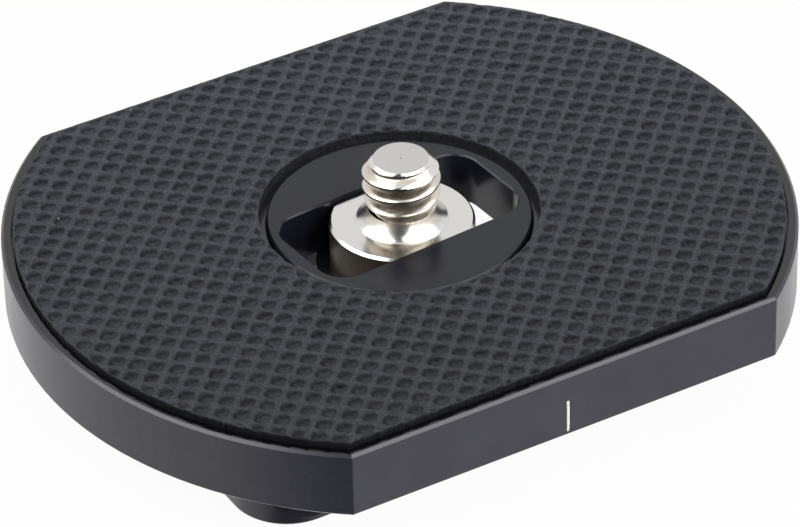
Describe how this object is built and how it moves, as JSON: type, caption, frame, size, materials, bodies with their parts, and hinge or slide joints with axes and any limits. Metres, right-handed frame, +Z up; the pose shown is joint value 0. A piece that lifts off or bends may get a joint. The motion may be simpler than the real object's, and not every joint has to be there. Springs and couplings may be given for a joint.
{
  "type": "tripod quick release plate",
  "caption": "Round camera plate with two flats, a waffled rubber pad, a sliding camera screw in a slotted turning disc, and a dovetail foot that a tripod head clamps.",
  "frame": {"origin": "middle of the foot's underside", "axes": "+X along the flats and the dovetail, -Y towards the flat with the index line, +Z up to the camera"},
  "size_m": [0.0634, 0.0508, 0.0159],
  "materials": {
    "anodised_plate": "fine bead-blasted, dark grey anodised aluminium",
    "pad_rubber": "matt black rubber with a moulded waffle",
    "anodised_disc": "satin, dark grey anodised aluminium",
    "spring_steel": "dark spring steel",
    "nickel_screw": "turned steel with bright nickel plating"
  },
  "bodies": {
    "plate": {"base_plate": "anodised_plate", "rubber_pad": "pad_rubber", "retaining_ring": "spring_steel"},
    "disc": {"turning_disc": "anodised_disc"},
    "screw": {"camera_screw": "nickel_screw"}
  },
  "joints": [
    {"name": "disc_turn", "type": "hinge", "parent": "plate", "child": "disc", "pos_m": [0, 0, 0.0085], "axis": [0, 0, 1], "continuous": true},
    {"name": "screw_slide", "type": "slide", "parent": "disc", "child": "screw", "axis": [0.9972, 0.075, 0], "range_m": [-0.00365, 0.00315]}
  ]
}
